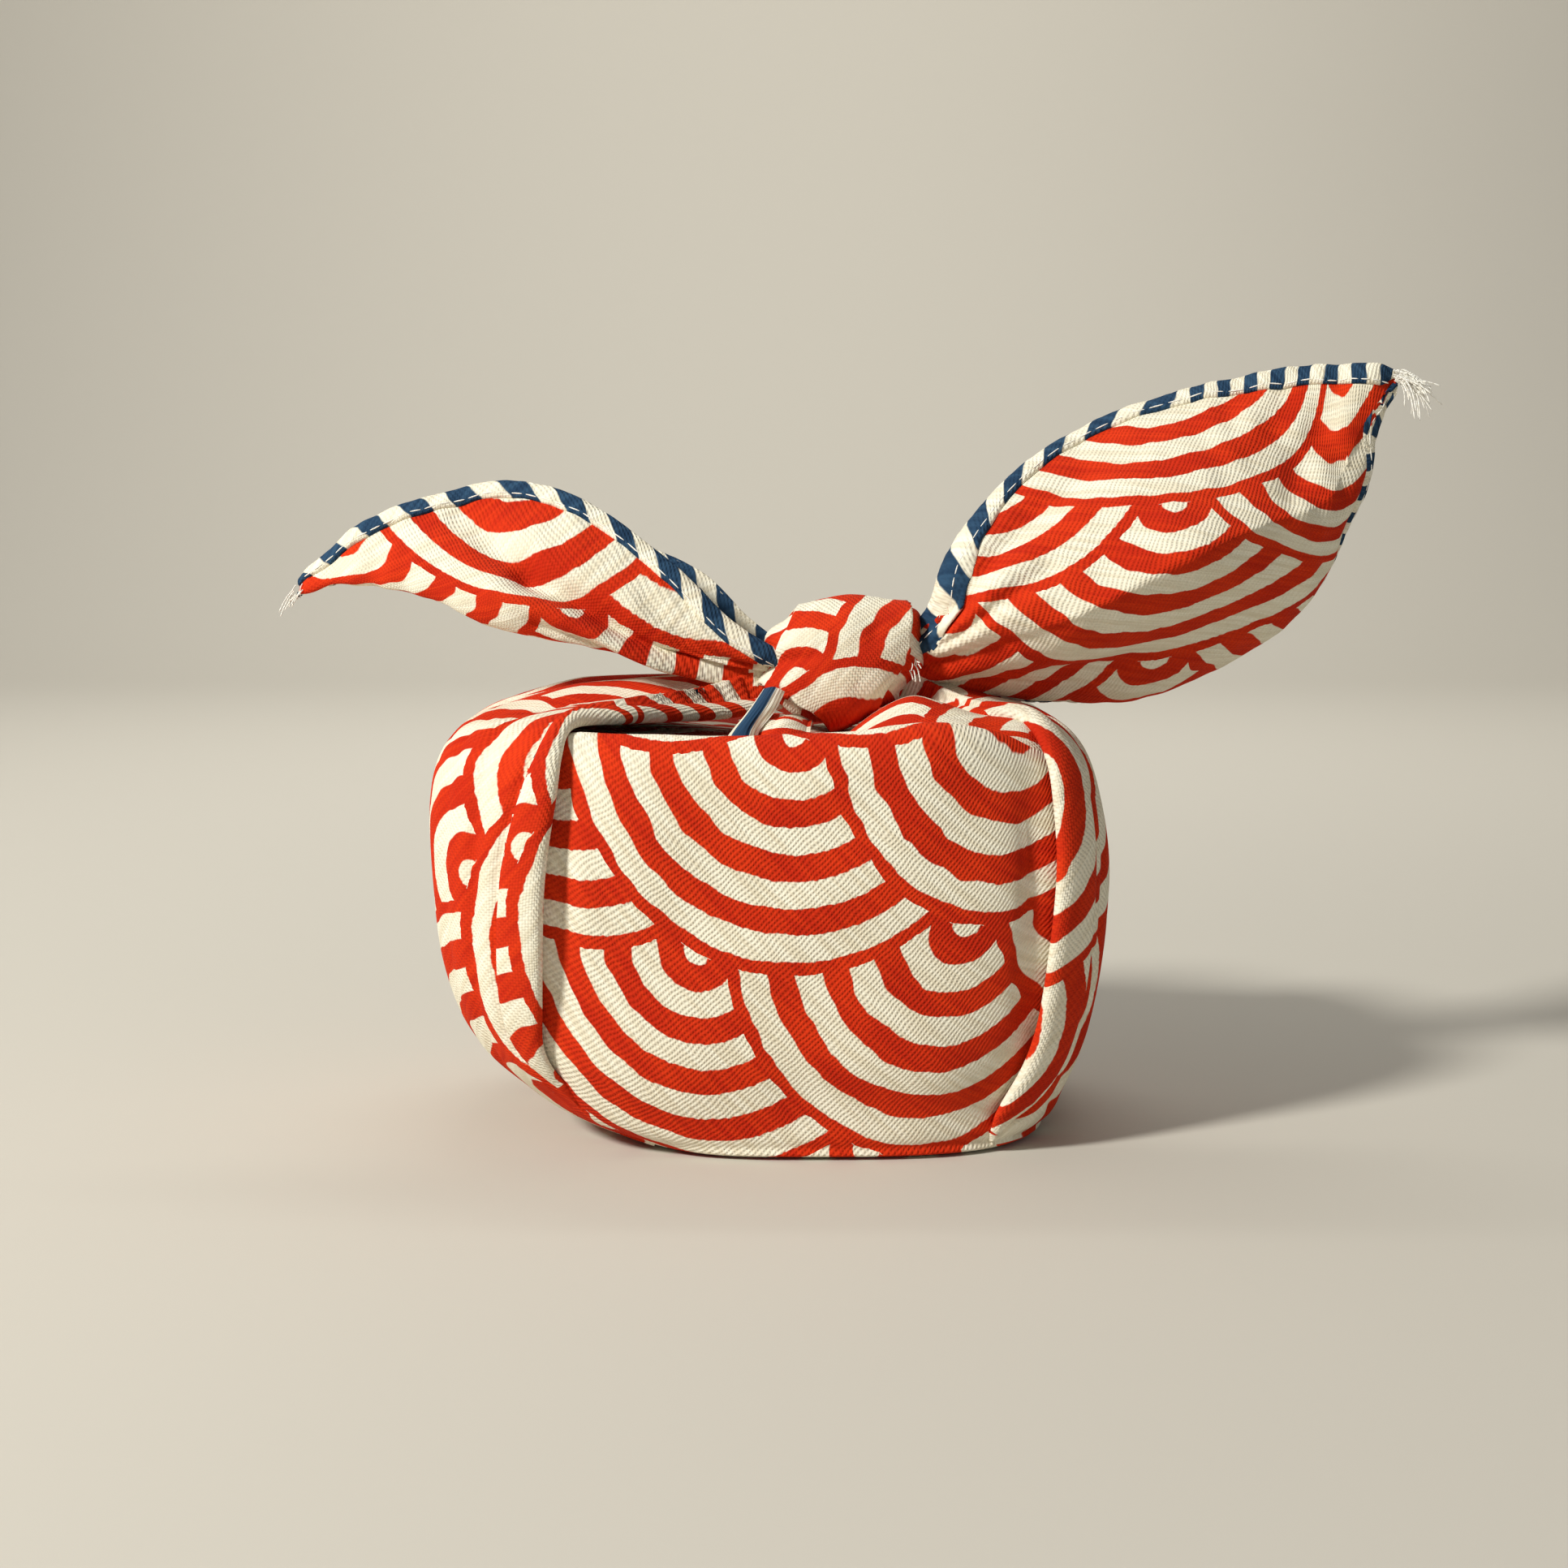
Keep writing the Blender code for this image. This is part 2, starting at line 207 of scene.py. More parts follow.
# What sets the ears apart: which side of the rows is printed, how far the far edge curls back, how
# sharp the fold is, how far the gathers run from the knot, how much wider the near hem is there, how
# wrinkled the tip is, how the hem's stripes crowd there and where the creases are.
Ear = namedtuple("Ear", "rows facing curl sharpness gathers root_hem wrinkled crowding creases")
WEST = Ear(
    rows=WEST_EAR, facing=-1, curl=0.0, sharpness=0.15, gathers=0.80, root_hem=0.15,
    wrinkled=0.3, crowding=0.25, creases=WEST_EAR_CREASES)
EAST = Ear(
    rows=EAST_EAR, facing=1, curl=4.0, sharpness=0.65, gathers=0.42, root_hem=2.0,
    wrinkled=1.7, crowding=1.12, creases=EAST_EAR_CREASES)

# How far the knot reaches from its middle as seen from the front, at every 30 degrees from +X.
KNOT_OUTLINE = (14.9, 18.0, 14.4, 13.0, 13.4, 15.0, 15.4, 14.9, 13.4, 11.6, 10.2, 12.8)
KNOT_CREASES = (
    Crease((15, -24, 103), (14, -24, 86), -0.9, 4.5),
    Crease((-1, -18, 93), (7, -24, 99), 0.9, 1.2),
    Crease((-1, -18, 90.5), (9, -24, 92.5), 0.7, 1.3),
    Crease((9, -22, 104), (12, -24, 97), 0.6, 1.3),
    Crease((6, -24, 88), (11, -22, 80), 0.8, 1.3),
    Crease((23, -20, 103), (19, -24, 95), 0.7, 1.4),
    Crease((20, -22, 83), (25, -19, 90), 0.8, 1.5),
)

# Edges where one turn of the knot lies over the next: way is the edge in x and z, with the upper turn
# on its left, lift is how far that turn stands up, fade how far from the edge this dies away, and
# shift the jump of the print.
Lap = namedtuple("Lap", "lift fade shift way")
KNOT_LAPS = (
    Lap(1.5, 4.0, (17.0, 23.0), ((-5, 88.8), (-1.4, 87.0), (3.5, 84.4), (8, 82.0), (12.4, 77.0))),
    Lap(0.9, 2.5, (9.0, -14.0), ((20, 82.5), (24.2, 88), (26.4, 93), (26.6, 98), (25.4, 105))),
    Lap(0.8, 2.2, (-12.0, 8.0), ((7.2, 104), (4.6, 99.6), (2.4, 96), (1.2, 93), (0.8, 90.5))),
)

# Loose ends of cloth by the knot: rows of points, each from its left to its right edge.
TUCKED_HEM = (
    ((-9.5, -33, 75.5), (-5.5, -35, 75.5), (-2.5, -34.5, 75)),
    ((-7.4, -31.5, 78.6), (-4.6, -33, 79.3), (-2, -31.5, 78.8)),
    ((-4, -28.5, 82.6), (-1.6, -29.8, 83.4), (0.9, -28.5, 82.4)),
    ((-1.2, -22, 86.2), (0.8, -23, 86.6), (2.8, -22, 85.6)),
)
FRONT_CORNER = (
    ((-4, -32, 75), (1, -34.5, 75.5), (6.5, -33, 75)),
    ((-3.4, -29.5, 78.6), (1.5, -32, 79.4), (7.4, -30.5, 78.2)),
    ((-2, -26, 81), (2.5, -28, 81.4), (7.6, -26, 79.6)),
    ((0, -18, 81), (4, -18, 81), (8, -18, 80)),
)
EAST_PLEAT = (
    ((11.5, -31, 74), (13, -27, 76.6), (14.5, -22, 77.6), (16, -10, 76)),
    ((17.5, -33, 74.5), (18.5, -29, 79.6), (19.5, -23.5, 81.8), (21, -10, 79)),
    ((25, -34, 75), (25.5, -29.5, 81.8), (26, -24, 84.7), (27, -10, 81)),
    ((32, -34, 75.5), (32, -30, 81.2), (32, -23, 83.4), (32, -10, 81)),
    ((40, -33, 75), (39.5, -30, 80), (38.5, -23, 81.6), (38, -10, 80)),
    ((47.5, -31, 74), (47, -29.6, 79.2), (45.5, -22.8, 80.8), (44.5, -10, 79.8)),
    ((53, -29, 71), (52, -27.5, 76.6), (50.5, -21.5, 78.6), (49, -10, 78.4)),
)


def smooth_step(value):
    """0 below 0, 1 above 1 and an S curve between."""
    value = min(max(value, 0.0), 1.0)
    return value * value * (3 - 2 * value)


def blend_rows(before, start, end, after, share):
    """A smooth curve through four numbers or vectors, read between the middle two."""
    slope_in = (end - before) * 0.5
    slope_out = (after - start) * 0.5
    square = share * share
    cube = square * share
    return (start * (2 * cube - 3 * square + 1) + slope_in * (cube - 2 * square + share)
            + end * (3 * square - 2 * cube) + slope_out * (cube - square))


def near_four(index, count):
    """The four places of a list about the gap after an index, kept within the list."""
    return [min(max(index + step, 0), count - 1) for step in (-1, 0, 1, 2)]


def read_rows(rows, place, column):
    """A column of a table between its rows, as a smooth curve."""
    index = min(max(int(place), 0), len(rows) - 2)
    values = [getattr(rows[pick], column) for pick in near_four(index, len(rows))]
    if isinstance(values[0], tuple):
        values = [Vector(value) for value in values]
    return blend_rows(*values, place - index)


@functools.lru_cache(maxsize=None)
def wrap_section(place):
    """The wrap's section at a place on its way from the base to the knot."""
    values = [read_rows(WRAP, place, column) for column in Section._fields]
    section = Section(*values)
    if place <= 1:
        section = section._replace(rise=0.0)
    return section


def wrap_point(place, angle):
    """A point of the wrap's outside."""
    section = wrap_section(place)
    cosine = math.cos(angle)
    sine = math.sin(angle)
    half_x = max(section.east if cosine > 0 else section.west, 0.01)
    half_y = max(section.north if sine > 0 else section.south, 0.01)
    power = section.square
    reach = (abs(cosine / half_x) ** power + abs(sine / half_y) ** power) ** (-1 / power)
    return Vector((section.x + reach * cosine, section.y + reach * sine, max(section.rise, 0.0)))


def wrap_normal(place, angle):
    """The direction straight out of the wrap."""
    step = 0.05
    place = min(max(place, step), WRAP_TOP - 2 * step)
    across = wrap_point(place, angle + step) - wrap_point(place, angle - step)
    along = wrap_point(place + step, angle) - wrap_point(place - step, angle)
    return across.cross(along).normalized()


def crease_offset(point, creases):
    """How far the creases press a point in."""
    offset = 0.0
    for crease in creases:
        start = Vector(crease.start)
        run = Vector(crease.end) - start
        share = min(max((point - start).dot(run) / run.length_squared, 0.0), 1.0)
        distance = (point - start - run * share).length / crease.width
        if distance < 3:
            taper = 0.35 + 0.65 * math.sin(math.pi * (0.15 + 0.7 * share))
            offset += crease.depth * taper * math.exp(-distance * distance)
    return offset


def ripple(point, size, height, seed=0.0):
    """Soft unevenness of the cloth, of a given size and height."""
    return height * noise.noise(Vector((point.x / size + seed, point.y / size - seed, point.z / size)))


def loft(rows, a, b):
    """A smooth surface through rows of points."""
    across = a * (len(rows[0]) - 1)
    column = min(int(across), len(rows[0]) - 2)
    along = b * (len(rows) - 1)
    index = min(int(along), len(rows) - 2)
    line = []
    for row in near_four(index, len(rows)):
        points = [Vector(rows[row][pick]) for pick in near_four(column, len(rows[0]))]
        line.append(blend_rows(*points, across - column))
    return blend_rows(*line, along - index)


def walk(points):
    """The way walked along a line of points, from the first to each."""
    walked = [0.0]
    for before, after in zip(points, points[1:]):
        walked.append(walked[-1] + (after - before).length)
    return walked


def read_run(run, share):
    """A list read at a share of its length."""
    place = min(max(share, 0.0), 1.0) * (len(run) - 1)
    index = min(int(place), len(run) - 2)
    return run[index] + (run[index + 1] - run[index]) * (place - index)


def ridges(value):
    """Round ridges between sharp valleys, from -0.55 to 0.45, one for each unit."""
    return abs(math.sin(math.pi * value)) ** 0.8 - 0.55


def bell(value, middle, width):
    """1 at the middle, faded to about a third at a width from it."""
    return math.exp(-((value - middle) / width) ** 2)


def signed_power(value, power):
    """A power of a number's size, with the number's own sign."""
    return math.copysign(abs(value) ** power, value)


def lap_side(spot, lap):
    """How surely a point seen from the front is on a lap's upper side, from -1 to 1, and how near."""
    nearest = None
    for start, end in zip(lap.way, lap.way[1:]):
        run = Vector(end) - Vector(start)
        off = Vector((spot.x, spot.z)) - Vector(start)
        share = min(max(off.dot(run) / run.length_squared, 0.0), 1.0)
        gap = (off - run * share).length
        if nearest is None or gap < nearest[0] - 1e-6:
            nearest = (gap, 1 if run.x * off.y - run.y * off.x > 0 else -1)
    gap, sign = nearest
    return smooth_step(sign * gap / 0.7 + 0.5) * 2 - 1, gap


def face_out(shape, middle):
    """Turn a sheet's printed face away from a point."""
    turned = 0.0
    for face in shape.faces:
        out = face.calc_center_median() - middle * MM
        turned += face.normal.dot(out) * face.calc_area()
    if turned < 0:
        bmesh.ops.reverse_faces(shape, faces=shape.faces[:])


def skin(columns, rows, place_point, closed=False):
    """A sheet from a grid: place_point gives (point, cloth coordinates) for two shares."""
    shape = bmesh.new()
    bmesh.ops.create_grid(shape, x_segments=columns, y_segments=rows, size=0.5)
    cloth = {}
    for vert in shape.verts:
        point, flat = place_point(vert.co.x + 0.5, vert.co.y + 0.5)
        cloth[vert] = flat
        vert.co = point * MM
    layer = shape.loops.layers.uv.new("cloth")
    for face in shape.faces:
        for loop in face.loops:
            loop[layer].uv = (cloth[loop.vert][0] * MM, cloth[loop.vert][1] * MM)
    if closed:
        bmesh.ops.remove_doubles(shape, verts=shape.verts[:], dist=0.02 * MM)
        bmesh.ops.recalc_face_normals(shape, faces=shape.faces[:])
    shape.normal_update()
    return shape


def finished(name, shape, materials, flip=False):
    """An object from a bmesh."""
    if flip:
        bmesh.ops.reverse_faces(shape, faces=shape.faces[:])
    mesh = bpy.data.meshes.new(name)
    shape.to_mesh(mesh)
    shape.free()
    mesh.shade_smooth()
    piece = bpy.data.objects.new(name, mesh)
    bpy.context.scene.collection.objects.link(piece)
    for material in materials:
        mesh.materials.append(material)
    return piece


def thicken(piece):
    """Give a sheet its thickness inwards, with its second material on its inside."""
    shell = piece.modifiers.new("thickness", "SOLIDIFY")
    shell.thickness = CLOTH_THICKNESS * MM
    shell.offset = -1.0
    shell.material_offset = 1
    shell.material_offset_rim = 1
    shell.use_even_offset = False


# Shading


class Value:
    """A shader socket that can be used in sums; each sum adds a Math node."""

    def __init__(self, tree, socket):
        self.tree = tree
        self.socket = socket

    def maths(self, operation, *others):
        """A Math node on this value and the others."""
        node = self.tree.nodes.new("ShaderNodeMath")
        node.operation = operation
        for place, item in enumerate((self,) + others):
            plug(self.tree, item, node.inputs[place])
        return Value(self.tree, node.outputs[0])

    def __add__(self, other):
        return self.maths("ADD", other)

    __radd__ = __add__

    def __sub__(self, other):
        return self.maths("SUBTRACT", other)

    def __rsub__(self, other):
        return (self * -1) + other

    def __mul__(self, other):
        return self.maths("MULTIPLY", other)

    __rmul__ = __mul__

    def __truediv__(self, other):
        return self.maths("DIVIDE", other)

    def __mod__(self, other):
        return self.maths("FLOORED_MODULO", other)

    def __lt__(self, other):
        return self.maths("LESS_THAN", other)

    def __gt__(self, other):
        return self.maths("GREATER_THAN", other)

    def floor(self):
        return self.maths("FLOOR")

    def size(self):
        return self.maths("ABSOLUTE")

    def sine(self):
        return self.maths("SINE")

    def smoothed(self, low, high):
        """0 below low, 1 above high and an S curve between."""
        node = self.tree.nodes.new("ShaderNodeMapRange")
        node.interpolation_type = "SMOOTHSTEP"
        plug(self.tree, self, node.inputs["Value"])
        node.inputs["From Min"].default_value = low
        node.inputs["From Max"].default_value = high
        return Value(self.tree, node.outputs["Result"])


def plug(tree, item, socket):
    """Link a value to a socket, or set a plain number there."""
    if isinstance(item, Value):
        tree.links.new(item.socket, socket)
    else:
        socket.default_value = item


class Finish:
    """A material in the making."""

    def __init__(self, name, roughness):
        self.material = bpy.data.materials.new(name)
        self.material.use_nodes = True
        self.tree = self.material.node_tree
        self.shader = self.tree.nodes["Principled BSDF"]
        self.shader.inputs["Roughness"].default_value = roughness
        self.shader.inputs["Specular IOR Level"].default_value = 0.12

    def add(self, kind, settings, inputs, output=0):
        """Add a node: its settings first, then its sockets by name or number."""
        node = self.tree.nodes.new(kind)
        for key, value in settings.items():
            setattr(node, key, value)
        for key, value in inputs.items():
            plug(self.tree, value, node.inputs[key])
        return Value(self.tree, node.outputs[output])

    def split(self, vector):
        """The x and y of a vector."""
        node = self.tree.nodes.new("ShaderNodeSeparateXYZ")
        plug(self.tree, vector, node.inputs[0])
        return Value(self.tree, node.outputs[0]), Value(self.tree, node.outputs[1])

    def noise(self, vector, scale, detail):
        """Noise over a vector, from about 0.3 to 0.7."""
        return self.add("ShaderNodeTexNoise", {"noise_dimensions": "3D"},
                        {"Vector": vector, "Scale": scale, "Detail": detail})

    def wobble(self, vector, scale, detail, reach):
        """An uneven shift in metres, by up to about a third of its reach in millimetres."""
        return (self.noise(vector, scale, detail) - 0.5) * (reach * MM)

    def mix(self, share, first, second):
        """A colour between two colours, which are a Mix node's sockets 6 and 7."""
        return self.add("ShaderNodeMix", {"data_type": "RGBA"}, {0: share, 6: first, 7: second}, 2)

    def place(self):
        """The piece's own cloth coordinates, in metres."""
        return self.add("ShaderNodeUVMap", {"uv_map": "cloth"}, {})

    def set(self, socket, value):
        """Link or set one of the shader's own sockets."""
        plug(self.tree, value, self.shader.inputs[socket])


# Colours and finishes. The deep vermilion and the darker cream colour the slubs and print patches, and
# also serve as painted shade in the weave.
CREAM = (0.89, 0.85, 0.70, 1.0)
CREAM_SHADE = (0.76, 0.69, 0.52, 1.0)
VERMILION = (0.70, 0.042, 0.006, 1.0)
VERMILION_DEEP = (0.50, 0.020, 0.004, 1.0)
INDIGO = (0.013, 0.038, 0.082, 1.0)
INDIGO_PALE = (0.028, 0.072, 0.135, 1.0)
THREAD_SHADE = (0.80, 0.77, 0.68, 1.0)
THREAD_LIGHT = (0.93, 0.92, 0.86, 1.0)
COTTON_ROUGHNESS = 0.88
WEFT_SHARE = 0.8  # of the warp's pitch
RIB_HEIGHT = 0.22  # of the weave's bump
RIB_STRENGTH = 0.55
BAND_SIDE = 0.235  # from a band's middle to its soft side, in shares of the pitch
RING_SIDE_END = 0.262
STRIPE_SIDE_END = 0.275


def woven(finish, cloth):
    """A ribbed plain weave along the cloth's two thread directions, with slubs."""
    x, y = finish.split(cloth)
    warp = (x + y) * (math.sqrt(0.5) / (WEAVE_PITCH * MM))
    weft = (x - y) * (math.sqrt(0.5) / (WEAVE_PITCH * WEFT_SHARE * MM))
    wander = finish.noise(cloth, 260.0, 1.0) * 1.3
    ribs = ((warp + wander) * math.tau).sine()
    threads = ((weft + wander) * math.tau).sine()
    slub_place = finish.add("ShaderNodeCombineXYZ", {}, {0: warp * 0.045, 1: weft * 0.55})
    slub = finish.noise(slub_place, 1.0, 2.0)
    height = ribs * 0.5 + (ribs * threads) * 0.35 + slub * 1.6
    sockets = {"Strength": RIB_STRENGTH, "Distance": RIB_HEIGHT * MM, "Height": height}
    finish.set("Normal", finish.add("ShaderNodeBump", {}, sockets))
    return ribs, threads, slub


def slubbed(finish, slub, colour, slub_colour):
    """A colour that turns to another along the slubs."""
    return finish.mix(slub.smoothed(0.35, 0.68), colour, slub_colour)


def bands(run, side_end):
    """0 in the middle half of each unit of a run and 1 outside it."""
    return ((run % 1) - 0.5).size().smoothed(BAND_SIDE, side_end)


def wave_rings(finish, cloth):
    """1 on the printed rings of overlapping wave scales and 0 on the ground between them."""
    turn = math.radians(PRINT_TURN)
    edge = finish.wobble(cloth, 150.0, 1.0, 1.9)
    edge_fine = finish.wobble(cloth, 900.0, 1.0, 0.5)
    x, y = finish.split(cloth)
    east = x * math.cos(turn) + y * math.sin(turn) + edge + edge_fine
    north = x * -math.sin(turn) + y * math.cos(turn) - edge + edge_fine
    radius = SCALE_RADIUS * MM
    rank = (north / (radius * 0.5)).floor()

    def distance_in(row):
        """Distance from the nearest scale's centre in a row, in metres."""
        shifted = east - (row % 2) * radius
        side = (shifted + radius) % (2 * radius) - radius
        rise = north - row * (radius * 0.5)
        return (side * side + rise * rise).maths("SQRT")

    lower = distance_in(rank - 1)
    upper = distance_in(rank)
    inside = lower < radius
    distance = lower * inside + upper * (1 - inside)
    return bands(distance / (RING_PITCH * MM), RING_SIDE_END)


def printed_cloth():
    """The face of the cloth: vermilion wave scales on cream, with painted shade in step with the weave."""
    finish = Finish("printed_face", COTTON_ROUGHNESS)
    cloth = finish.place()
    ribs, threads, slub = woven(finish, cloth)
    rings = wave_rings(finish, cloth)
    patch = finish.noise(cloth, 60.0, 3.0)
    cream = slubbed(finish, slub, CREAM, CREAM_SHADE)
    red = finish.mix((patch * 0.5 + slub * 0.5).smoothed(0.36, 0.64), VERMILION_DEEP, VERMILION)
    colour = finish.mix(rings, red, cream)
    # Painted shade: the colour darkens towards the deep vermilion and the darker cream in step with the
    # weave's ribs and cross threads.
    depth = (ribs * 0.5 + 0.5) * 0.34 + (threads * 0.5 + 0.5) * 0.14
    colour = finish.mix(depth, colour, finish.mix(rings, VERMILION_DEEP, CREAM_SHADE))
    finish.set("Base Color", colour)
    return finish.material


def striped_reverse(name, slant):
    """The reverse of the cloth: uneven indigo stripes on cream, which lean by a slant."""
    finish = Finish(name, COTTON_ROUGHNESS)
    cloth = finish.place()
    slub = woven(finish, cloth)[2]
    x, y = finish.split(cloth)
    edge = finish.wobble(cloth, 150.0, 2.0, 2.4)
    stripe = bands((x + y * slant + edge) / (STRIPE_PITCH * MM), STRIPE_SIDE_END)
    navy = slubbed(finish, slub, INDIGO, INDIGO_PALE)
    cream = slubbed(finish, slub, CREAM, CREAM_SHADE)
    finish.set("Base Color", finish.mix(stripe, navy, cream))
    return finish.material


def sewing_thread():
    """White cotton thread and the cloth's own loose ends."""
    finish = Finish("sewing_thread", 0.8)
    spot = finish.add("ShaderNodeTexCoord", {}, {}, "Object")
    shade = finish.noise(spot, 2500.0, 1.0)
    finish.set("Base Color", finish.mix(shade.smoothed(0.3, 0.7), THREAD_SHADE, THREAD_LIGHT))
    return finish.material


FACE = printed_cloth()
REVERSE = striped_reverse("striped_reverse", 0.35)
HEM = striped_reverse("hem_cloth", 0.8)
THREAD = sewing_thread()


# The wrap


@functools.lru_cache(maxsize=None)
def front_run(angle, steps=96):
    """How far up the front or back panel each step of a way up the wrap lies."""
    run = [0.0]
    before = wrap_point(0.0, angle)
    for index in range(1, steps + 1):
        point = wrap_point(WRAP_TOP * index / steps, angle)
        run.append(run[-1] + math.hypot(point.y - before.y, point.z - before.z))
        before = point
    return run


def wrap_body_point(a, b):
    """A point of the front, back and base, and where it is on the flat cloth."""
    angle = round(a * math.tau, 6)
    place = b * WRAP_TOP
    point = wrap_point(place, angle)
    normal = wrap_normal(place, angle) if 0.02 < b < 0.99 else Vector((0, 0, -1 if b < 0.5 else 1))
    side = -1 if math.sin(angle) < 0 else 1
    flat = (point.x, side * read_run(front_run(angle), b))
    off_table = smooth_step((point.z - 1.0) / 6)
    press = crease_offset(point, WRAP_CREASES) - ripple(point, 26, 0.9) - ripple(point, 11, 0.25, 3.0)
    point = point - normal * press * off_table
    point.z = max(point.z, 0.0)
    return point, flat


def make_wrap():
    """The front and back panels, the base and the top under the knot, open behind the front edge."""
    shape = skin(180, 108, wrap_body_point, closed=True)
    gone = []
    for face in shape.faces:
        middle = face.calc_center_median() / MM
        offs = [math.hypot((middle.x - mouth.x) / mouth.half_x, (middle.y - mouth.y) / mouth.half_y)
                for mouth in MOUTHS]
        if middle.z > MOUTHS_ABOVE and min(offs) < 1:
            gone.append(face)
    bmesh.ops.delete(shape, geom=gone, context="FACES")
    piece = finished("wrap_panels", shape, (FACE, REVERSE))
    thicken(piece)
    return piece


# The folds round the ends


@functools.lru_cache(maxsize=None)
def girth(place, start, end, steps=150):
    """Angles along the wrap's outside at one place, with the distance walked to each."""
    angles = [start + (end - start) * index / steps for index in range(steps + 1)]
    return angles, walk([wrap_point(place, angle) for angle in angles])


def angle_at(angles, walked, distance):
    """The angle at a distance along a girth."""
    if distance <= 0:
        return angles[0]
    low, high = 0, len(walked) - 1
    while high - low > 1:
        middle = (low + high) // 2
        if walked[middle] < distance:
            low = middle
        else:
            high = middle
    share = min((distance - walked[low]) / max(walked[high] - walked[low], 1e-6), 1.0)
    return angles[low] + (angles[high] - angles[low]) * share


def fold_root(west):
    """The place where a fold's front pleat opens."""
    return WEST_ROOT if west else EAST_ROOT


def roll_profile(share, width, roll):
    """Where a share of a fold's section lies.

    Returns (distance, turn, mirrored): the distance from the nearer rolled edge, the angle round that
    edge, from -90 degrees under it to 90 above it, and whether that edge is the back one.
    """
    turned = max(TURNED_UNDER - roll, 0.5)
    arc = math.pi * roll
    total = 2 * (turned + arc) + width - 2 * roll
    walked = share * total
    mirrored = walked > total / 2
    if mirrored:
        walked = total - walked
    if walked < turned:
        distance, turn = TURNED_UNDER - walked, -math.pi / 2
    elif walked < turned + arc:
        turn = -math.pi / 2 + (walked - turned) / roll
        distance = roll - roll * math.cos(turn)
    else:
        distance, turn = roll + walked - turned - arc, math.pi / 2
    return distance, turn, mirrored


def fold_point(rows, west, a, b):
    """A point of the fold round one end and where it is on the flat cloth."""
    row_place = round(b * (len(rows) - 1), 5)
    row = Fold(*[read_rows(rows, row_place, column) for column in Fold._fields])
    place = round(min(row.place, FOLD_TOP), 5)
    angles, walked = girth(place, round(math.radians(row.front), 6), round(math.radians(row.back), 6))
    width = walked[-1]
    roll = min(max(row.roll, 0.15), width * 0.2)
    distance, turn, mirrored = roll_profile(0.5 - 0.5 * math.cos(math.pi * a), width, roll)
    from_front = width - distance if mirrored else distance
    angle = angle_at(angles, walked, from_front)
    base = wrap_point(place, angle)
    normal = wrap_normal(place, angle)
    on_top = smooth_step((place - TOP_START) / TOP_LENGTH)
    above_root = smooth_step((place - fold_root(west) + 0.3) / 0.9)
    height = row.lift + roll * (1 + math.sin(turn)) - 0.9 * (1 - above_root) * (math.sin(turn) < 0.9)
    if turn >= math.pi / 2:
        # a raised strip beside the edge, a valley at its crease, long creases, and gathers on top
        low = 0.25 + 1.15 * above_root + row.lift * 0.5
        strip_width = row.width if not mirrored else row.width * 0.6
        strip = smooth_step((strip_width - distance) / 1.3 + 0.5)
        height = low + (row.lift + 2 * roll - low) * strip
        height += 0.35 * above_root * strip * math.sin(math.pi * min(distance / strip_width, 1.0))
        valley = bell(distance - strip_width, 0.4, 0.9)
        height -= 0.7 * above_root * valley * (1 - 0.6 * on_top)
        height += 0.35 * above_root * bell(distance - strip_width, 3.0, 2.0)
        dome = math.sin(math.pi * min(from_front / max(width, 1), 1.0)) ** 0.8
        height += (row.crest - CREST_LEVEL) * on_top * dome
        for crease in END_CREASES:
            trough = bell(distance, crease.distance, crease.width)
            height -= crease.depth * above_root * (1 - on_top) * trough
        tall = min(1.9, width / 32) * on_top * smooth_step((distance - 2) / 6)
        height += tall * ridges(GATHERS * from_front / width + 0.12)
        uneven = ripple(base, 24, 0.8 * (1 - on_top) + 0.4, 7.0)
        height += uneven * smooth_step((distance - 3) / 8) * above_root
    point = base + normal * height
    up = read_run(end_run(west), place / WRAP_TOP)
    gathered = 1 + 0.3 * on_top + 0.4 * smooth_step(place - 10)
    across = (from_front - width / 2 + roll * turn * (0.5 if not mirrored else -0.5)) * gathered
    across += max(row.crest + 1 - height, 0) * on_top * (0.7 if mirrored else -0.7)
    flat = Vector((-up, across)) if west else Vector((up, across))
    if not mirrored:
        on_strip = smooth_step((row.width - distance) / 0.4 + 0.5) if turn >= math.pi / 2 else 1.0
        opened = smooth_step((place - fold_root(west)) / 0.2)
        flat += STRIP_SHIFT * (on_strip * opened)
    flat += root_shift(west) + edge_shift(rows, west, b) * (1 - smooth_step(from_front / 34))
    point.z = max(point.z, OFF_TABLE)
    return point, flat


def front_flat(rows, west, b):
    """Where a fold's front edge lies on the flat cloth, by the fold's reading and by the wrap's."""
    row_place = b * (len(rows) - 1)
    place = min(read_rows(rows, row_place, "place"), FOLD_TOP)
    start = round(math.radians(read_rows(rows, row_place, "front")), 6)
    back = round(math.radians(read_rows(rows, row_place, "back")), 6)
    width = girth(round(place, 5), start, back)[1][-1]
    up = read_run(end_run(west), place / WRAP_TOP)
    edge = wrap_point(place, start)
    own = Vector((-up if west else up, -width / 2))
    return own, Vector((edge.x, -read_run(front_run(start), place / WRAP_TOP)))


@functools.lru_cache(maxsize=None)
def root_shift(west):
    """What a fold's flat coordinates need to meet the front panel's at the pleat's root."""
    rows = WEST_FOLD if west else EAST_FOLD
    root_row = 2 if west else 1
    own, panel = front_flat(rows, west, root_row / (len(rows) - 1))
    return panel - own


@functools.lru_cache(maxsize=None)
def edge_shift(rows, west, b):
    """The rest that a fold's front edge needs to meet the front panel's print below the root."""
    own, panel = front_flat(rows, west, b)
    place = read_rows(rows, b * (len(rows) - 1), "place")
    below = 1 - smooth_step((place - fold_root(west)) / 0.6)
    return (panel - own - root_shift(west)) * below


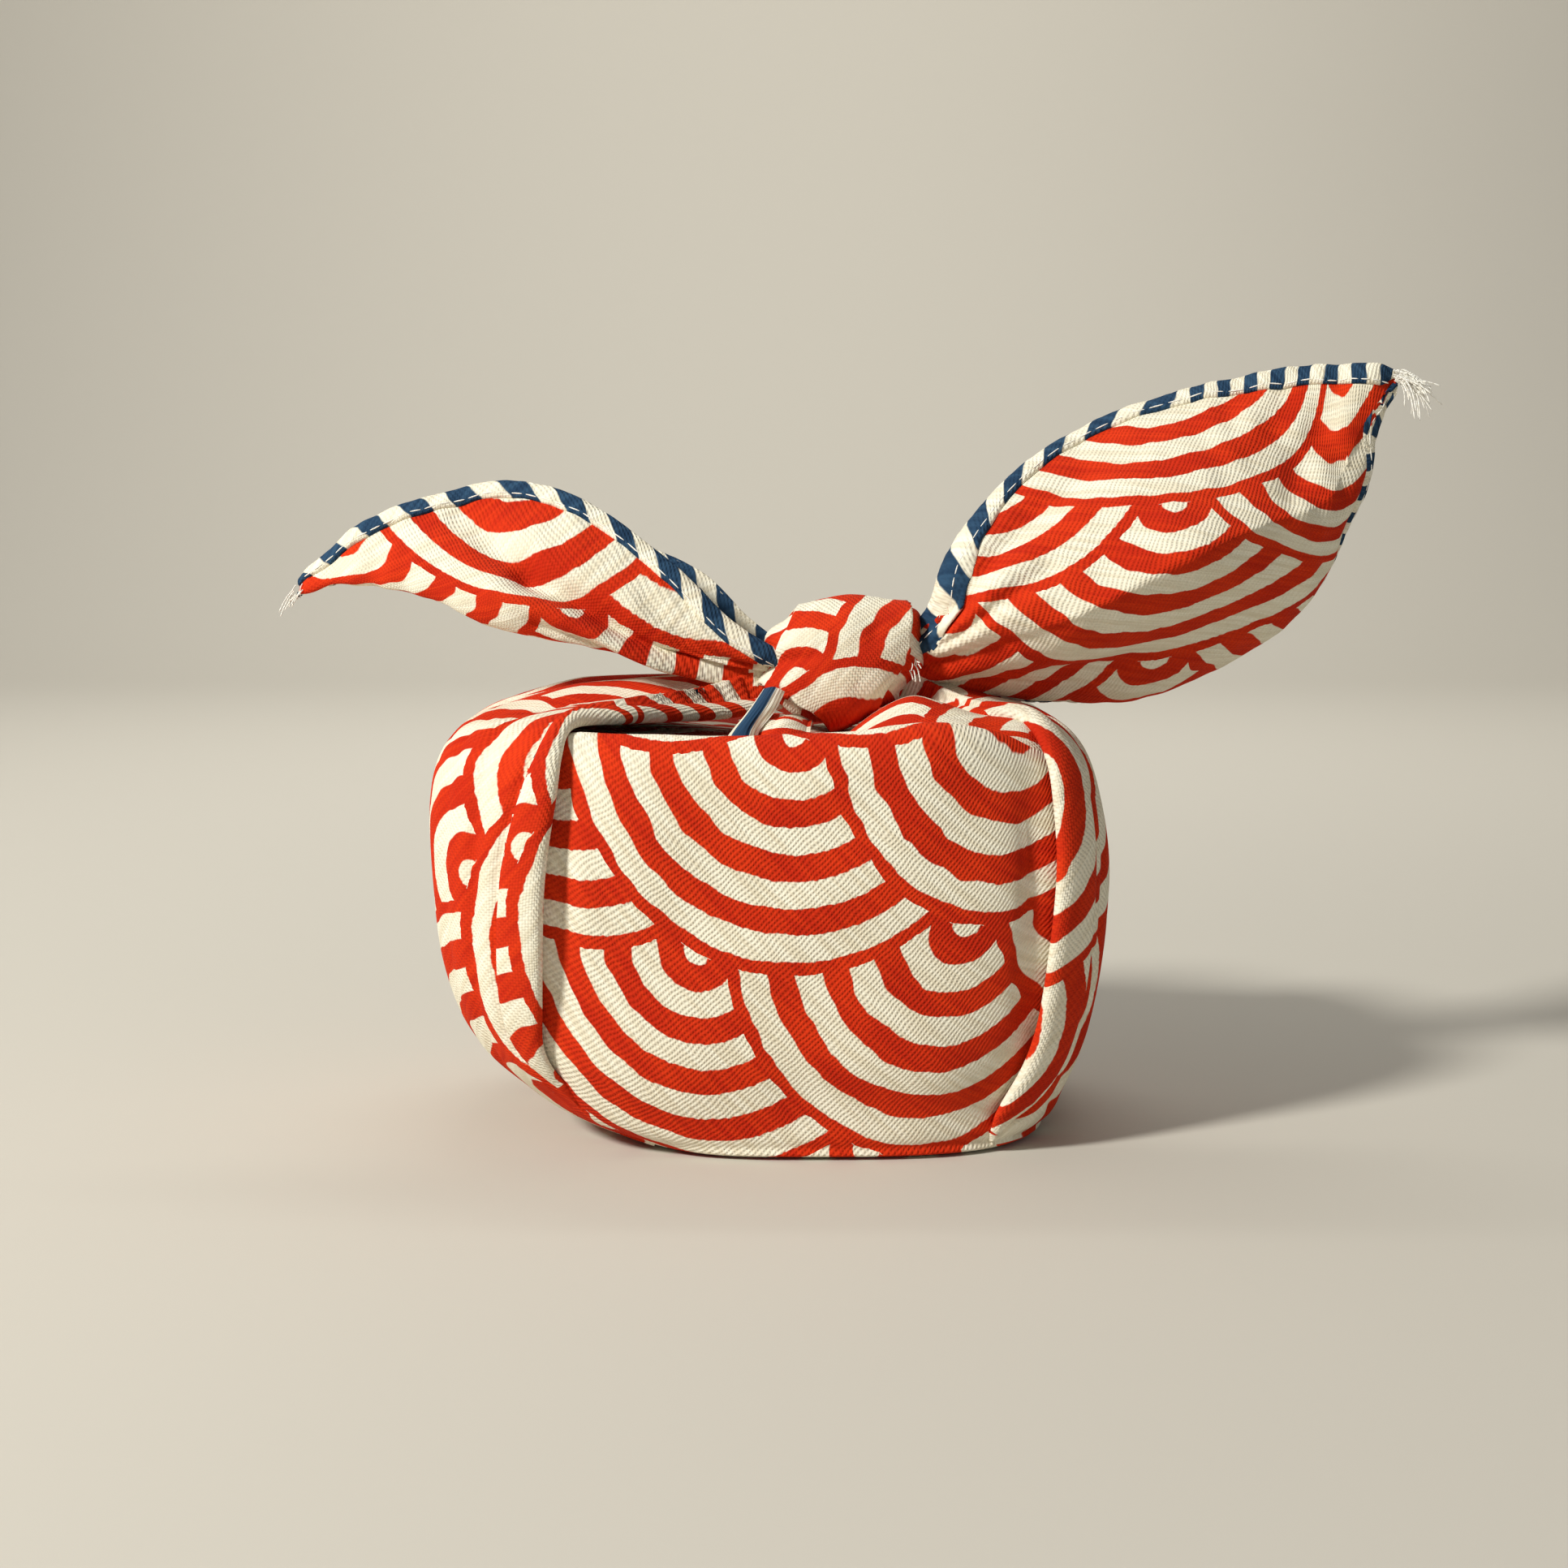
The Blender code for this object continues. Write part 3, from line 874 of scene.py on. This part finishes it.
@functools.lru_cache(maxsize=None)
def end_run(west, steps=120):
    """The way walked from the middle of the base up one end, at equal steps of place."""
    angle = math.pi if west else 0.0
    return walk([wrap_point(WRAP_TOP * index / steps, angle) for index in range(steps + 1)])


def make_fold(name, rows, west):
    """The cloth folded round one end, from under the wrap up to the knot."""
    shape = skin(176, 130, lambda a, b: fold_point(rows, west, a, b))
    face_out(shape, Vector((0, 0, 40)))
    piece = finished(name, shape, (FACE, REVERSE))
    thicken(piece)
    return piece


# The knot


def knot_reach(angle):
    """How far the knot reaches from its middle in the direction of an angle, as seen in front."""
    count = len(KNOT_OUTLINE)
    place = (angle / math.tau % 1) * count
    index = int(place)
    picks = [KNOT_OUTLINE[(index + step) % count] for step in (-1, 0, 1, 2)]
    return blend_rows(*picks, place - index)


def knot_point(a, b):
    """A point of the knot, seen as a ball about the line of sight, with its turns of cloth."""
    around = a * math.tau
    slope = math.pi * b
    ring = max(math.sin(slope), 0.0) ** 0.72
    depth = signed_power(math.cos(slope), 0.85) * KNOT_DEPTH
    reach = knot_reach(around) * ring
    spot = Vector((reach * math.cos(around), -depth, reach * math.sin(around)))
    out = spot.normalized()
    side = smooth_step((abs(spot.x) - 9) / 6) * smooth_step((depth + 9) / 6)
    swell = 0.8 * side * math.cos(9 * around) - crease_offset(KNOT_CENTRE + spot, KNOT_CREASES)
    swell += ripple(spot, 10, 0.9, 5.0) + ripple(spot, 5, 0.3, 8.0) + ripple(spot, 2.5, 0.12, 3.0)
    flat = Vector((spot.x * 1.15 + 252, (KNOT_CENTRE.z + spot.z) * 1.2 + slope * 4))
    for lap in KNOT_LAPS:
        upper, gap = lap_side(KNOT_CENTRE + spot, lap)
        swell += lap.lift * upper * math.exp(-gap / lap.fade) * ring
        flat += Vector(lap.shift) * (0.5 - 0.5 * upper)
    return KNOT_CENTRE + spot + out * swell, flat


def make_knot():
    """The knot in its outer turn of cloth."""
    shape = skin(216, 140, knot_point, closed=True)
    return finished("knot", shape, (FACE, REVERSE))


def make_tucks():
    """The corner tucked up to the knot behind the front panel, and the pleat at the knot's right."""
    pieces = []
    for name, place_point, middle, materials in (
            ("front_corner", corner_point, (4, 0, 60), (FACE, REVERSE)),
            ("tucked_hem", tucked_hem_point, (-4, 0, 60), (HEM, HEM)),
            ("east_pleat", pleat_point, (28, -20, 60), (FACE, REVERSE))):
        shape = skin(60, 56, place_point)
        face_out(shape, Vector(middle))
        piece = finished(name, shape, materials)
        thicken(piece)
        pieces.append(piece)
    return pieces


def corner_point(a, b):
    """A point of the tucked corner."""
    point = loft(FRONT_CORNER, a, b)
    point += Vector((0, -1, 0.6)) * (0.8 * ridges(a * 2 + 0.2) * smooth_step((b - 0.2) / 0.4))
    return point, (point.x * 1.1 + 60, b * 24 + 300)


def tucked_hem_point(a, b):
    """A point of the tucked corner's hem, whose stripes run up to the knot."""
    point = loft(TUCKED_HEM, a, b) + Vector((0, ripple(Vector((a * 6, b * 12, 0)), 3, 0.5), 0))
    return point, (a * 10.0 + 0.3, b * 1.5 + 40)


def pleat_point(a, b):
    """A point of the pleat at the knot's right."""
    point = loft(EAST_PLEAT, a, b)
    relief = 0.6 * ridges(a * 2.6) * smooth_step(a / 0.3) + ripple(point, 12, 0.5, 1.0)
    point += Vector((0, -0.3, 1)) * relief
    return point, (b * 40 + 110, a * 38 - 170)


# The ears


def leaf_middle(ear, across, along):
    """The middle of an ear's cloth: across runs from its near edge at 0 to its far edge at 1."""
    row_place = along * (len(ear.rows) - 1)
    fold, near, far = (read_rows(ear.rows, row_place, name) for name in ("fold", "near", "far"))
    pull = (fold * 8 - near - far) / 6
    lean = (near - far) * 0.5
    rest = 1 - across
    gutter = near * rest ** 3 + far * across ** 3
    gutter += ((pull + lean) * rest + (pull - lean) * across) * (3 * across * rest)
    if across < 0.5:
        crease = near.lerp(fold, across * 2)
    else:
        crease = fold.lerp(far, across * 2 - 1)
    return gutter.lerp(crease, ear.sharpness * smooth_step((along - 0.1) / 0.3))


@functools.lru_cache(maxsize=None)
def fold_line_run(rows, steps=60):
    """The way walked along an ear's fold, from the knot to the tip."""
    last = len(rows) - 1
    return walk([read_rows(rows, last * index / steps, "fold") for index in range(steps + 1)])


def ear_relief(ear, point, across, along):
    """Gathers near the knot, soft waves further out and curled edges, in millimetres."""
    near_knot = (1 - smooth_step((along - 0.1) / (ear.gathers - 0.1))) * smooth_step(along / 0.08)
    fan = across * 3.6 + 0.5 * along * (0.5 - across)
    gathers = 2.2 * near_knot * ridges(fan + 0.15) * (0.5 + 0.5 * smooth_step(across / 0.2))
    waves = ripple(point, 22, 1.5, 2.0) * smooth_step(along / 0.3)
    tip = smooth_step((along - 0.55) / 0.3)
    tall = ear.wrinkled * tip + 0.3
    wrinkles = ripple(Vector((point.x * 1.3, point.y, point.z * 0.6)), 6.0, tall, 4.0)
    wrinkles -= crease_offset(Vector((along * EAR_LENGTH_PARTS, across * EAR_WIDTH_PARTS, 0)), ear.creases)
    fine = ripple(point, 3.0, 0.14, 6.0)
    turned = ear.curl * smooth_step((across - 0.90) / 0.10) * math.sin(math.pi * min(along * 1.1, 1))
    return gathers + waves + wrinkles + fine - turned


@functools.lru_cache(maxsize=None)
def ear_surface(ear, across, along):
    """The middle of an ear's cloth, with its relief."""
    step = 0.02
    low_across, high_across = max(across - step, 0), min(across + step, 1)
    low_along, high_along = max(along - step, 0), min(along + step, 1)
    over = leaf_middle(ear, high_across, along) - leaf_middle(ear, low_across, along)
    out = leaf_middle(ear, across, high_along) - leaf_middle(ear, across, low_along)
    middle = leaf_middle(ear, across, along)
    return middle + over.cross(out).normalized() * (ear.facing * ear_relief(ear, middle, across, along))


def ear_point(ear, a, b):
    """A point of an ear and where it is on the flat cloth."""
    point = ear_surface(ear, a, b)
    run = fold_line_run(ear.rows)
    along = HALF_DIAGONAL - (run[-1] - read_run(run, b))
    row_place = b * (len(ear.rows) - 1)
    fold = read_rows(ear.rows, row_place, "fold")
    edge = read_rows(ear.rows, row_place, "near" if a < 0.5 else "far")
    across = (a * 2 - 1) * (edge - fold).length * 1.1
    return point, (along, across)


def make_ear(name, ear, flip):
    """A free corner of the cloth."""
    shape = skin(96, 130, lambda a, b: ear_point(ear, a, b))
    piece = finished(name, shape, (FACE, REVERSE), flip=flip)
    thicken(piece)
    return piece


@functools.lru_cache(maxsize=None)
def hem_frame(ear, side, along):
    """A point of an ear's edge, the way in over the cloth, the way out of its print and a scale."""
    step = 0.03
    point = ear_surface(ear, side, along)
    inner = ear_surface(ear, abs(side - step), along)
    before = ear_surface(ear, side, max(along - step, 0))
    after = ear_surface(ear, side, min(along + step, 1))
    share = step / (inner - point).length
    inward = (inner - point).normalized()
    along_way = (after - before).normalized()
    inward = (inward - along_way * inward.dot(along_way)).normalized()
    normal = inward.cross(along_way) * (ear.facing if side < 0.5 else -ear.facing)
    return point, inward, normal.normalized(), share


def hem_width(ear, side, along):
    """How wide a hem shows: the near one opens out beside the knot."""
    if side > 0.5:
        return HEM_WIDTH
    return HEM_WIDTH * (1 + ear.root_hem * (1 - smooth_step((along - 0.10) / 0.32)))


def hem_spot(ear, side, along, distance, height):
    """A point at a distance in from an ear's edge and at a height over its printed face."""
    edge, inward, normal, share = hem_frame(ear, side, along)
    if distance > 0:
        spot = ear_surface(ear, abs(side - min(distance * share, 0.45)), along)
    else:
        spot = edge + inward * distance
    return spot + normal * height


def hem_base(ear, side, along):
    """How far a hem's middle stands off the ear: more where it is wider."""
    return 0.2 + 0.35 * (hem_width(ear, side, along) / HEM_WIDTH - 1)


def hem_stripe_run(ear, spot, length):
    """Where a spot along a hem reads the stripes, which are long near the knot and crowd at the tip."""
    return 0.88 * spot + ear.crowding * max(spot - 0.66 * length, 0.0)


def make_hem(name, ear, side):
    """The turned hem along one edge of an ear: a flat roll of cloth round the edge."""
    steps = 150
    run = walk([hem_frame(ear, side, round(index / steps, 6))[0] for index in range(steps + 1)])

    def place_point(a, b):
        """A point of the hem and where it is on its stripes."""
        around = a * math.tau
        reach = signed_power(math.cos(around), 0.7)
        rise = signed_power(math.sin(around), 0.8)
        narrow = 0.5 + 0.5 * smooth_step(min(b, 1 - b) / 0.08)
        spot = read_run(run, b)
        uneven = 1 + 0.10 * noise.noise(Vector((spot / 6, side * 9, 0)))
        half = hem_width(ear, side, b) / 2 * narrow * uneven
        puckers = 0.12 * noise.noise(Vector((spot / 1.6, reach * 1.5, side * 5 + 3)))
        height = hem_base(ear, side, b) + HEM_THICKNESS / 2 * rise * narrow + puckers
        point = hem_spot(ear, side, round(b, 6), half - HEM_OVERHANG + half * reach, height)
        return point, (hem_stripe_run(ear, spot, run[-1]), HEM_WIDTH / 2 * math.cos(around))

    shape = skin(20, steps, place_point, closed=True)
    bmesh.ops.holes_fill(shape, edges=[edge for edge in shape.edges if edge.is_boundary], sides=0)
    return finished(name, shape, (HEM,)), run


def make_stitches(name, ear, side, run):
    """The row of stitches near the inner side of a hem."""
    shape = bmesh.new()
    count = int(run[-1] / STITCH_PITCH)
    for index in range(2, count - 1):
        ends = []
        for spot in (index * STITCH_PITCH, index * STITCH_PITCH + STITCH_LENGTH):
            along = round(spot / run[-1], 6)
            inset = hem_width(ear, side, along) * STITCH_INSET
            height = hem_base(ear, side, along) + HEM_THICKNESS * STITCH_RISE
            ends.append(hem_spot(ear, side, along, inset, height))
        add_thread(shape, ends[0], ends[1], STITCH_RADIUS, 0.5)
    return finished(name, shape, (THREAD,))


def add_thread(shape, start, end, radius, share):
    """A short length of thread between two points; share is its half length over their distance."""
    way = end - start
    turn = way.to_track_quat("Z", "Y").to_matrix().to_4x4()
    place = Matrix.Translation((start + end) / 2 * MM) @ turn
    grow = Matrix.Diagonal((radius * MM, radius * MM, way.length * share * MM, 1.0))
    bmesh.ops.create_uvsphere(shape, u_segments=6, v_segments=5, radius=1.0, matrix=place @ grow)


def make_frays(name, tip, way, count, length, seed):
    """A tuft of loose threads."""
    draw = random.Random(seed)
    shape = bmesh.new()
    for _ in range(count):
        start = tip + Vector([draw.uniform(-1.2, 1.2) for _ in range(3)])
        bend = Vector([draw.uniform(-0.5, 0.5) for _ in range(3)])
        drop = Vector((0, 0, -draw.uniform(0.2, 0.9)))
        reach = length * draw.uniform(0.5, 1.0)
        radius = draw.uniform(0.11, 0.17)
        route = []
        for step in range(9):
            share = step / 8
            route.append(start + (way + bend * share + drop * share * share) * reach * share)
        for before, after in zip(route, route[1:]):
            add_thread(shape, before, after, radius, 0.6)
    return finished(name, shape, (THREAD,))


# Putting the pieces together


def dress():
    """Make every piece, named for what it is, and attach it to the root body."""
    wrap = make_wrap()
    west_fold = make_fold("west_fold", WEST_FOLD, True)
    east_fold = make_fold("east_fold", EAST_FOLD, False)
    knot = make_knot()
    corner, tucked_hem, pleat = make_tucks()
    knot_frays = make_frays("knot_frays", Vector((27.2, -19, 90.5)), Vector((0.3, -0.5, -0.5)), 9, 2.2, 7)
    pieces = [wrap, west_fold, east_fold, knot, corner, tucked_hem, pleat, knot_frays]
    for name, ear, flip, tip_way, count, length in (
            ("west_ear", WEST, True, Vector((-0.5, -0.4, -0.6)), 10, 3.0),
            ("east_ear", EAST, False, Vector((0.9, -0.2, -0.3)), 40, 6.0)):
        sheet = make_ear(name, ear, flip)
        trims = []
        for edge, side in (("near", 0.0), ("far", 1.0)):
            hem, run = make_hem(f"{name}_{edge}_hem", ear, side)
            stitches = make_stitches(f"{name}_{edge}_stitches", ear, side, run)
            trims += [hem, stitches]
        tip = Vector(ear.rows[-1].fold) + Vector((0, 0, 1.5))
        trims.append(make_frays(f"{name}_frays", tip, tip_way, count, length, 4))
        pieces.append(sheet)
        pieces += trims
    for piece in pieces:
        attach(piece, "root")
        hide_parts("wrap_cloth")


# The studio, in metres
WRAP_MIDDLE = (0.0, 0.0, 0.06)
FLOOR_WIDTH = 6.0
FLOOR_LENGTH = 5.0  # of the floor and the wall together
FLOOR_FRONT = -1.6
BEND_START = 1.2  # where the floor starts to curve up
BEND_RADIUS = 0.8
FLOOR_DROP = 0.0002  # how far the floor lies below the wrap's base
FLOOR_COLOUR = (0.60, 0.57, 0.50, 1.0)
Lamp = namedtuple("Lamp", "name place aim size power colour")
LAMPS = (
    Lamp("key", (-0.84, -0.66, 0.78), WRAP_MIDDLE, 0.20, 19.3, (1.0, 0.98, 0.93)),
    Lamp("fill", (0.9, -0.9, 0.45), WRAP_MIDDLE, 0.9, 0.9, (0.93, 0.96, 1.0)),
    Lamp("top", (0.1, 0.35, 1.1), WRAP_MIDDLE, 0.8, 1.4, (1.0, 1.0, 1.0)),
    Lamp("wall", (0.0, 0.6, 1.3), (0.0, 2.0, 0.4), 1.0, 16.0, (1.0, 0.98, 0.94)),
)
CAMERA_PLACE = (0.0026, -0.431, 0.1163)
CAMERA_TILT = 6.72  # degrees down from level


def make_floor():
    """A pale floor that curves up to a pale wall."""
    shape = bmesh.new()
    bmesh.ops.create_grid(shape, x_segments=2, y_segments=60, size=0.5)
    for vert in shape.verts:
        x = vert.co.x * FLOOR_WIDTH
        run = (vert.co.y + 0.5) * FLOOR_LENGTH + FLOOR_FRONT
        if run < BEND_START:
            vert.co = Vector((x, run, 0))
        else:
            turn = min((run - BEND_START) / BEND_RADIUS, math.pi / 2)
            above = max(run - BEND_START - BEND_RADIUS * math.pi / 2, 0)
            back = BEND_START + BEND_RADIUS * math.sin(turn)
            vert.co = Vector((x, back, BEND_RADIUS - BEND_RADIUS * math.cos(turn) + above))
    finish = Finish("studio_floor", 0.75)
    finish.set("Base Color", FLOOR_COLOUR)
    floor = finished("floor", shape, (finish.material,))
    floor.location.z = -FLOOR_DROP


def make_lights():
    """A faint even light from the room, and the lamps."""
    world = bpy.data.worlds.new("soft_room")
    bpy.context.scene.world = world
    world.use_nodes = True
    background = world.node_tree.nodes["Background"]
    background.inputs["Color"].default_value = (1.0, 0.98, 0.95, 1.0)
    background.inputs["Strength"].default_value = 0.17
    for lamp in LAMPS:
        light = bpy.data.lights.new(lamp.name, "AREA")
        light.shape = "DISK"
        light.size = lamp.size
        light.energy = lamp.power
        light.color = lamp.colour
        holder = bpy.data.objects.new(lamp.name, light)
        holder.location = lamp.place
        holder.rotation_euler = (Vector(lamp.aim) - Vector(lamp.place)).to_track_quat("-Z", "Y").to_euler()
        bpy.context.scene.collection.objects.link(holder)


def make_camera():
    """The camera at the photograph's viewing angle."""
    lens = bpy.data.cameras.new("camera")
    lens.lens = 50.0
    lens.sensor_width = 36.0
    lens.clip_start = 0.01
    camera = bpy.data.objects.new("camera", lens)
    camera.location = CAMERA_PLACE
    camera.rotation_euler = (math.radians(90 - CAMERA_TILT), 0, 0)
    bpy.context.scene.collection.objects.link(camera)
    bpy.context.scene.camera = camera
    bpy.context.scene.view_settings.view_transform = "Standard"


make_camera()
make_lights()
make_floor()
dress()
